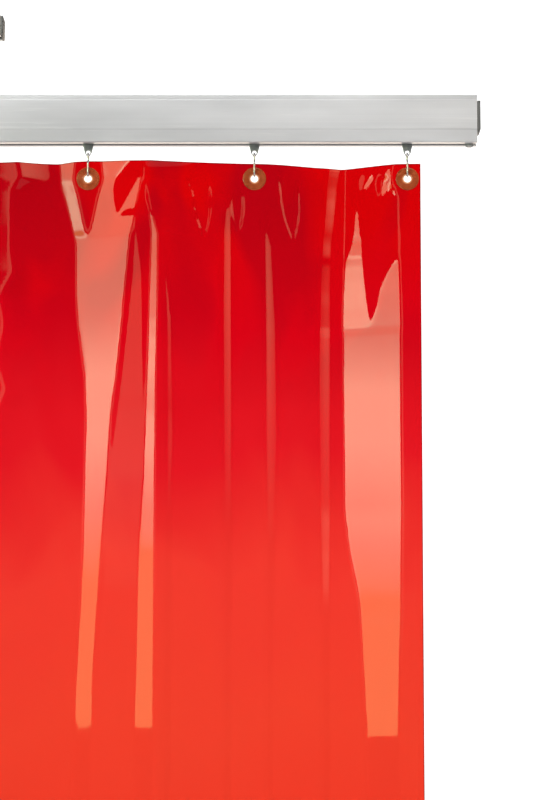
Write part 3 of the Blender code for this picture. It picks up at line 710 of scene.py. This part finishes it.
def film_mesh():
    """The film as a sheet with thickness and holes, and its flat places in the UV layer in metres."""
    columns, centres = film_columns()
    heights, centre_row = film_rows()
    depth = film_depth(columns, heights)
    across, up = np.meshgrid(columns, heights)
    near_top = eased(1 - (heights[0] - heights) / TOP_EDGE_FADE)
    up += near_top[:, None] * top_edge_lift(columns)[None, :]
    rounded_holes(across, up, columns, heights, centres, centre_row)
    slope_x = np.gradient(depth, axis=1) / np.gradient(across, axis=1)
    slope_z = np.gradient(depth, axis=0) / np.gradient(up, axis=0)
    size = np.sqrt(1 + slope_x**2 + slope_z**2)
    half = FILM_THICKNESS / 2
    place = np.stack([across, depth, up], -1)
    normal = np.stack([-slope_x / size, 1 / size, -slope_z / size], -1)
    front = (place - half * normal).reshape(-1, 3)
    back = (place + half * normal).reshape(-1, 3)
    rows, count = depth.shape
    kept = np.ones((rows - 1, count - 1), bool)
    for centre in centres.values():
        kept[centre_row - 2:centre_row + 2, centre - 2:centre + 2] = False
    index = np.arange(rows * count).reshape(rows, count)
    a, b, c, d = index[:-1, :-1], index[:-1, 1:], index[1:, 1:], index[1:, :-1]
    cells = np.stack([a, d, c, b], -1)[kept]
    total = rows * count
    faces = [cells, cells[:, ::-1] + total]
    edges = {}
    for cell in cells:
        for k in range(4):
            one, two = int(cell[k]), int(cell[(k + 1) % 4])
            if (two, one) in edges:
                del edges[(two, one)]
            else:
                edges[(one, two)] = True
    rim = [(two, one, one + total, two + total) for one, two in edges]
    faces.append(np.array(rim))
    faces = np.concatenate(faces)
    points = np.concatenate([front, back])
    run = np.cumsum(np.hypot(np.diff(columns), np.diff(depth, axis=1)), 1)
    along = np.concatenate([np.zeros((rows, 1)), run], 1)
    along += FILM_WIDTH - along[:, -1:]
    drop = np.repeat((heights[0] - heights)[:, None], count, 1)
    flat = np.stack([along, drop], -1).reshape(-1, 2)
    flat = np.concatenate([flat, flat])
    used = np.unique(faces)
    renumber = np.zeros(len(points), int)
    renumber[used] = np.arange(len(used))
    faces = renumber[faces]
    mesh = bpy.data.meshes.new("curtain")
    mesh.from_pydata(points[used].tolist(), [], faces.tolist())
    layer = mesh.uv_layers.new(name="sheet")
    corner = np.empty(len(mesh.loops), np.int32)
    mesh.loops.foreach_get("vertex_index", corner)
    layer.data.foreach_set("uv", flat[used][corner].astype(np.float32).ravel())
    mesh.update()
    return mesh


def make_film():
    mesh = film_mesh()
    film = linked("curtain_sheet", mesh, FINISHES["red_orange_film"])
    smooth_by_angle(mesh, 50)
    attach(film, "curtain")
    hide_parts("curtain_film")
    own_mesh(film)


# ---- Hardware ----

def group(name, sockets):
    tree = bpy.data.node_groups.new(name, "GeometryNodeTree")
    tree.interface.new_socket("Geometry", in_out="INPUT", socket_type="NodeSocketGeometry")
    for label, kind, value in sockets:
        socket = tree.interface.new_socket(label, in_out="INPUT", socket_type=kind)
        if value is not None:
            socket.default_value = value
    tree.interface.new_socket("Geometry", in_out="OUTPUT", socket_type="NodeSocketGeometry")
    return tree, add(tree, "NodeGroupInput"), add(tree, "NodeGroupOutput")


def grown(tree, name, values, base=None):
    """The plain mesh that a Geometry Nodes tree makes from these input values."""
    holder = linked(f"{name}_holder", base or bpy.data.meshes.new(name))
    modifier = holder.modifiers.new("grown", "NODES")
    modifier.node_group = tree
    for item in tree.interface.items_tree:
        if item.item_type == "SOCKET" and item.in_out == "INPUT" and item.name in values:
            modifier[item.identifier] = values[item.name]
    made = plain_mesh(holder)
    bpy.data.objects.remove(holder)
    return made


def wire_tree():
    """A round wire swept along an edge path."""
    tree, given, result = group("round_wire", (
        ("Radius", "NodeSocketFloat", 1.0 * MM), ("Sides", "NodeSocketInt", 16),
        ("Finish", "NodeSocketMaterial", None)))
    curve = add(tree, "GeometryNodeMeshToCurve", {"Mesh": given.outputs["Geometry"]})
    ring = add(tree, "GeometryNodeCurvePrimitiveCircle", {
        "Resolution": given.outputs["Sides"], "Radius": given.outputs["Radius"]})
    swept = add(tree, "GeometryNodeCurveToMesh", {
        "Curve": curve.outputs[0], "Profile Curve": ring.outputs[0], "Fill Caps": True})
    real = add(tree, "GeometryNodeRealizeInstances", {"Geometry": swept.outputs[0]})
    coated = add(tree, "GeometryNodeSetMaterial", {
        "Geometry": real.outputs[0], "Material": given.outputs["Finish"]})
    tree.links.new(coated.outputs[0], result.inputs["Geometry"])
    return tree


def arc(y, z, radius, start, end, steps):
    turns = [math.radians(start + (end - start) * k / steps) for k in range(steps + 1)]
    return [(y + radius * math.cos(t), z + radius * math.sin(t)) for t in turns]


def bezier(points, steps):
    made = []
    for k in range(1, steps):
        t = k / steps
        weights = ((1 - t) ** 3, 3 * t * (1 - t) ** 2, 3 * t * t * (1 - t), t**3)
        made.append(tuple(sum(w * p[n] for w, p in zip(weights, points)) for n in (0, 1)))
    return made


HOOK_TOP_RADIUS = 5.5 * MM
HOOK_FOOT_RADIUS = 6 * MM
HOOK_TOP_TO_FOOT = 16.6 * MM
HOOK_NECK_DROP = 8 * MM
HOOK_TIP_RISE = 7 * MM
HOOK_PLAY = 0.15 * MM
WIRE_RADIUS = 1.1 * MM
EYELET_BORE = 4.5 * MM
EYELET_FACE = 0.45 * MM
WHEEL_BORE = 1.8 * MM
THREAD_PITCH = 1.25 * MM


def hook_route():
    """The S-hook's line as (y, z) points about its swing axis."""
    top = arc(0, 0, HOOK_TOP_RADIUS, 190, -10, 34)
    front = -HOOK_FOOT_RADIUS
    start = top[-1]
    end = (front, -HOOK_NECK_DROP)
    bend = [start, (0.92 * start[0], start[1] - 0.3 * HOOK_TOP_RADIUS),
            (front, end[1] + 0.55 * HOOK_NECK_DROP), end]
    foot = arc(0, -HOOK_TOP_TO_FOOT, HOOK_FOOT_RADIUS, 180, 360, 34)
    tip = (HOOK_FOOT_RADIUS, -HOOK_TOP_TO_FOOT + HOOK_TIP_RISE)
    return top + bezier(bend, 16) + [end] + foot + [tip]


def make_hooks():
    tree = wire_tree()
    for number in range(1, HANGERS + 1):
        node = f"s_hook_{number}"
        low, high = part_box(node)
        x = (low.x + high.x) / 2
        swing_z = high.z - HOOK_TOP_RADIUS - WIRE_RADIUS + HOOK_PLAY
        route = [(x, y, swing_z + z) for y, z in hook_route()]
        line = bpy.data.meshes.new(node)
        line.from_pydata(route, [(k, k + 1) for k in range(len(route) - 1)], [])
        made = grown(tree, node, {
            "Radius": WIRE_RADIUS, "Sides": 18, "Finish": FINISHES["bright_wire"]}, line)
        hook = linked(f"{node}_finished", made)
        smooth_by_angle(made, 50)
        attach(hook, body_of(node))
        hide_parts(node)


def make_eyelets():
    for number in range(1, HANGERS + 1):
        node = f"eyelet_{number}"
        low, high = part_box(node)
        middle = (low + high) / 2
        outer = (high.y - low.y) / 2
        radius = (high.z - low.z) / 2
        face, bore = EYELET_FACE, EYELET_BORE
        half = [(bore, 0.0), (bore, outer - 0.55 * MM), (bore + 0.16 * MM, outer - 0.2 * MM),
                (bore + 0.55 * MM, outer), (bore + 1.7 * MM, outer), (bore + 2.3 * MM, outer - 0.22 * MM),
                (radius - 3.2 * MM, outer - 0.34 * MM), (radius - 2.3 * MM, outer - 0.12 * MM),
                (radius - 1.2 * MM, outer - 0.10 * MM), (radius - 0.4 * MM, outer - 0.32 * MM),
                (radius, outer - 0.75 * MM), (radius - 0.1 * MM, face), (bore + 1.5 * MM, face)]
        profile = half + [(r, -y) for r, y in half[:0:-1]]
        ring = turned(f"{node}_finished", profile, middle, 64, FINISHES["amber_plastic"])
        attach(ring, body_of(node))
        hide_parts(node)


def make_wheels():
    for number in range(1, HANGERS + 1):
        for side, sign in (("front", -1), ("back", 1)):
            node = f"{side}_wheel_{number}"
            low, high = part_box(node)
            middle = (low + high) / 2
            axle_low, axle_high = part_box(f"hanger_axle_{number}")
            middle.z = axle_low.z / 2 + axle_high.z / 2
            half = (high.y - low.y) / 2
            radius = (high.x - low.x) / 2
            inner = WHEEL_BORE
            profile = [(inner, -half), (2.9 * MM, -half), (2.95 * MM, -half + 0.9 * MM),
                       (3.3 * MM, -half + 1.2 * MM), (radius - 0.5 * MM, -half + 1.2 * MM),
                       (radius - 0.12 * MM, -half + 1.4 * MM), (radius, -half + 1.8 * MM),
                       (radius, half - 0.7 * MM), (radius - 0.12 * MM, half - 0.3 * MM),
                       (radius - 0.5 * MM, half), (3.6 * MM, half), (3.3 * MM, half - 0.5 * MM),
                       (inner, half - 0.5 * MM)]
            if sign < 0:
                profile = [(r, -y) for r, y in profile]
            wheel = turned(f"{node}_finished", profile, middle, 48, FINISHES["white_nylon"])
            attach(wheel, body_of(node))
            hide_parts(node)


def thread_tree():
    """A V thread wound round a rod from its foot upwards."""
    tree, given, result = group("rod_thread", (
        ("Radius", "NodeSocketFloat", 4 * MM), ("Pitch", "NodeSocketFloat", THREAD_PITCH),
        ("Turns", "NodeSocketFloat", 10.0), ("Ridge", "NodeSocketFloat", 0.35 * MM),
        ("Finish", "NodeSocketMaterial", None)))
    height = maths(tree, "MULTIPLY", given.outputs["Pitch"], given.outputs["Turns"])
    coil = add(tree, "GeometryNodeCurveSpiral", {
        "Resolution": 20, "Rotations": given.outputs["Turns"], "Start Radius": given.outputs["Radius"],
        "End Radius": given.outputs["Radius"], "Height": height})
    ring = add(tree, "GeometryNodeCurvePrimitiveCircle", {
        "Resolution": 4, "Radius": given.outputs["Ridge"]})
    swept = add(tree, "GeometryNodeCurveToMesh", {
        "Curve": coil.outputs[0], "Profile Curve": ring.outputs[0], "Fill Caps": True})
    real = add(tree, "GeometryNodeRealizeInstances", {"Geometry": swept.outputs[0]})
    coated = add(tree, "GeometryNodeSetMaterial", {
        "Geometry": real.outputs[0], "Material": given.outputs["Finish"]})
    tree.links.new(coated.outputs[0], result.inputs["Geometry"])
    return tree


def make_rods():
    tree = thread_tree()
    for side in ("left", "right"):
        node = f"drop_rod_{side}"
        low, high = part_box(node)
        turns = (high.z - low.z - 1.6 * MM) / THREAD_PITCH
        made = grown(tree, node, {
            "Radius": 3.86 * MM, "Pitch": THREAD_PITCH, "Turns": turns, "Ridge": 0.36 * MM,
            "Finish": FINISHES["galvanised_steel"]})
        made.transform(Matrix.Translation(((low.x + high.x) / 2, 0, low.z + 0.8 * MM)))
        thread = linked(f"{node}_thread", made)
        smooth_by_angle(made, 30)
        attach(thread, "rail")
        softened(node, FINISHES["galvanised_steel"], 0.4 * MM)


def rib_tree():
    """Short upright ribs spaced evenly round a screw head."""
    tree, given, result = group("head_ribs", (
        ("Radius", "NodeSocketFloat", 5 * MM), ("Height", "NodeSocketFloat", 2 * MM),
        ("Count", "NodeSocketInt", 28), ("Rib", "NodeSocketFloat", 0.3 * MM),
        ("Finish", "NodeSocketMaterial", None)))
    circle = add(tree, "GeometryNodeCurvePrimitiveCircle", {
        "Resolution": given.outputs["Count"], "Radius": given.outputs["Radius"]})
    points = add(tree, "GeometryNodeCurveToPoints", {"Curve": circle.outputs[0]}, mode="EVALUATED")
    rib = add(tree, "GeometryNodeMeshCone", {
        "Vertices": 6, "Radius Top": given.outputs["Rib"], "Radius Bottom": given.outputs["Rib"],
        "Depth": given.outputs["Height"]})
    placed = add(tree, "GeometryNodeInstanceOnPoints", {
        "Points": points.outputs[0], "Instance": rib.outputs[0]})
    real = add(tree, "GeometryNodeRealizeInstances", {"Geometry": placed.outputs[0]})
    coated = add(tree, "GeometryNodeSetMaterial", {
        "Geometry": real.outputs[0], "Material": given.outputs["Finish"]})
    tree.links.new(coated.outputs[0], result.inputs["Geometry"])
    return tree


def make_stop_screws():
    tree = rib_tree()
    for side in ("left", "right"):
        node = f"end_stop_screw_{side}"
        low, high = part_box(node)
        softened(node, FINISHES["zinc_plate"], 0.35 * MM, 3)
        made = grown(tree, node, {
            "Radius": (high.x - low.x) / 2 - 0.15 * MM, "Height": 1.9 * MM, "Count": 30,
            "Rib": 0.3 * MM, "Finish": FINISHES["zinc_plate"]})
        made.transform(Matrix.Translation(((low.x + high.x) / 2, 0, low.z + 1.6 * MM)))
        ribs = linked(f"{node}_ribs", made)
        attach(ribs, "rail")


def make_hardware():
    pieces = [("rail", "rail_aluminium", 0.3 * MM, 2), ("ceiling_strut", "galvanised_steel", 0.5 * MM, 3)]
    for side in ("left", "right"):
        pieces += [
            (f"rail_cap_{side}", "black_plastic", 0.5 * MM, 3),
            (f"strut_cap_{side}", "black_plastic", 0.5 * MM, 3),
            (f"end_stop_{side}", "white_nylon", 0.5 * MM, 3),
            (f"channel_nut_{side}", "galvanised_steel", 0.4 * MM, 2),
            (f"upper_lock_nut_{side}", "galvanised_steel", 0.4 * MM, 3),
            (f"lower_lock_nut_{side}", "galvanised_steel", 0.4 * MM, 3),
            (f"rail_t_nut_{side}", "galvanised_steel", 0.3 * MM, 2)]
    for number in range(1, HANGERS + 1):
        pieces += [(f"hanger_plate_{number}", "zinc_plate", 0.35 * MM, 3),
                   (f"hanger_axle_{number}", "zinc_plate", 0.2 * MM, 2)]
    for node, slot, width, segments in pieces:
        softened(node, FINISHES[slot], width, segments)


# ---- Studio ----

def aim(obj, target):
    direction = Vector(target) - obj.location
    obj.rotation_euler = direction.to_track_quat("-Z", "Y").to_euler()


def panel(name, place, target, width, height, power, colour=(1.0, 1.0, 1.0)):
    light = bpy.data.lights.new(name, "AREA")
    light.shape = "RECTANGLE"
    light.size = width
    light.size_y = height
    light.energy = power
    light.color = colour
    lamp = bpy.data.objects.new(name, light)
    lamp.location = place
    bpy.context.scene.collection.objects.link(lamp)
    aim(lamp, target)
    lamp.visible_camera = False
    return lamp


def graded_panel(name, place, target, width, height, stops, direction="Y", fade=0.0):
    """A panel whose light changes along its width or height: stops are (share of the way, colour, radiance).
    Its light also grows from nothing over the lowest share of its height, fade."""
    lamp = panel(name, place, target, width, height, math.pi * width * height)
    lamp.data.use_nodes = True
    tree = lamp.data.node_tree
    tree.nodes.clear()
    geometry = add(tree, "ShaderNodeNewGeometry")
    where = add(tree, "ShaderNodeSeparateXYZ", {"Vector": geometry.outputs["Parametric"]})
    peak = max(stop[2] for stop in stops)
    tones = [(share, tuple(part * value / peak for part in colour)) for share, colour, value in stops]
    tone = colours(tree, where.outputs[direction], tones)
    strength = ramp(tree, where.outputs["Y"], 0.0, fade, 0.0, peak) if fade else peak
    shine = add(tree, "ShaderNodeEmission", {"Color": tone, "Strength": strength})
    add(tree, "ShaderNodeOutputLight", {"Surface": shine.outputs[0]})
    return lamp


def make_room():
    """A pale room: bright to the camera, softer as light, and nearly dark in reflections."""
    world = bpy.data.worlds.new("studio")
    bpy.context.scene.world = world
    world.use_nodes = True
    tree = world.node_tree
    tree.nodes.clear()
    path = add(tree, "ShaderNodeLightPath")
    room = add(tree, "ShaderNodeBackground", {"Color": (0.95, 0.97, 1.0, 1.0), "Strength": ROOM_LIGHT})
    dark = add(tree, "ShaderNodeBackground", {"Color": (1.0, 0.95, 0.92, 1.0), "Strength": ROOM_SHINE})
    back = add(tree, "ShaderNodeBackground", {"Color": (1.0, 1.0, 1.0, 1.0), "Strength": BACKDROP})
    unseen = add(tree, "ShaderNodeMixShader", {
        "Fac": path.outputs["Is Glossy Ray"], 1: room.outputs[0], 2: dark.outputs[0]})
    mixed = add(tree, "ShaderNodeMixShader", {
        "Fac": path.outputs["Is Camera Ray"], 1: unseen.outputs[0], 2: back.outputs[0]})
    add(tree, "ShaderNodeOutputWorld", {"Surface": mixed.outputs[0]})


def make_lamps():
    warm, core, amber, pale = (0.86, 0.82, 0.49), (0.76, 1.0, 0.66), (0.80, 1.0, 0.36), (1.0, 0.98, 0.62)
    orange = (1.0, 0.74, 0.46)
    key = graded_panel("key_softbox", (-2.02, -2.1, 0.525), (0.42, 0.0, 0.525), 1.75, 2.60, (
        (0.0, amber, 3.5), (0.12, amber, 3.6), (0.18, core, 5.6), (0.25, core, 9.2), (0.30, core, 9.4),
        (0.35, core, 5.4), (0.46, warm, 4.9), (1.0, warm, 4.9)))
    key.visible_diffuse = False
    graded_panel("shade_panel", (-0.68, -3.0, 0.35), (0.42, 0.0, 0.35), 0.52, 2.4, (
        (0.0, pale, 0.0), (0.10, pale, 0.05), (0.24, pale, 1.25), (0.5, pale, 1.2), (1.0, pale, 0.9)))
    graded_panel("rim_strip", (3.05, -1.75, 0.60), (0.42, 0.0, 0.60), 1.1, 1.9, (
        (0.0, orange, 1.2), (0.45, orange, 2.6), (1.0, orange, 3.8)), "X", 0.3)
    ceiling = panel("ceiling_light", (0.5, -1.7, 2.2), (0.42, 0.0, -0.3), 2.2, 1.2, 26.0)
    ceiling.visible_diffuse = False
    for name, place, target, width, height, power in (
            ("rail_light", (1.30, -1.5, 0.45), (0.85, 0.0, -0.12), 0.7, 0.6, 13.0),
            ("rail_light_left", (-0.40, -1.4, 0.45), (0.0, 0.0, -0.12), 0.6, 0.5, 17.0),
            ("floor_light", (0.42, 0.0, 2.8), (0.42, 0.0, 0.0), 3.0, 3.0, 55.0)):
        lamp = panel(name, place, target, width, height, power)
        lamp.visible_glossy = False
    panel("back_light", (0.42, 2.6, -0.2), (0.42, 0.0, -1.3), 2.6, 1.6, 46.0, (1.0, 0.86, 0.72))


def make_floor():
    bm = bmesh.new()
    bmesh.ops.create_grid(bm, x_segments=24, y_segments=24, size=6.0)
    floor = linked("studio_floor", mesh_of(bm, "studio_floor"))
    floor.data.transform(Matrix.Translation((0, 0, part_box("curtain_film")[0].z - FLOOR_GAP)))
    material, tree = new_finish("studio_floor")
    fleck = noise(tree, places(tree, (1.0, 1.0, 1.0)), 3.0, 5.0)
    shade = colours(tree, fleck, ((0.3, (0.80, 0.80, 0.79)), (0.7, (0.84, 0.84, 0.83))))
    surface = add(tree, "ShaderNodeBsdfPrincipled", {"Base Color": shade, "Roughness": 0.8})
    output(tree, surface.outputs[0])
    floor.data.materials.append(material)


def make_camera():
    lens = bpy.data.cameras.new("camera")
    lens.lens = CAMERA_LENS
    lens.sensor_width = 36.0
    lens.sensor_fit = "AUTO"
    camera = bpy.data.objects.new("camera", lens)
    camera.location = CAMERA_PLACE
    camera.rotation_euler = (math.radians(90 + CAMERA_TILT_UP), 0.0, 0.0)
    bpy.context.scene.collection.objects.link(camera)
    bpy.context.scene.camera = camera
    bpy.context.scene.view_settings.view_transform = "Standard"


make_room()
make_lamps()
make_floor()
make_camera()
make_hardware()
make_rods()
make_stop_screws()
make_wheels()
make_hooks()
make_eyelets()
make_film()
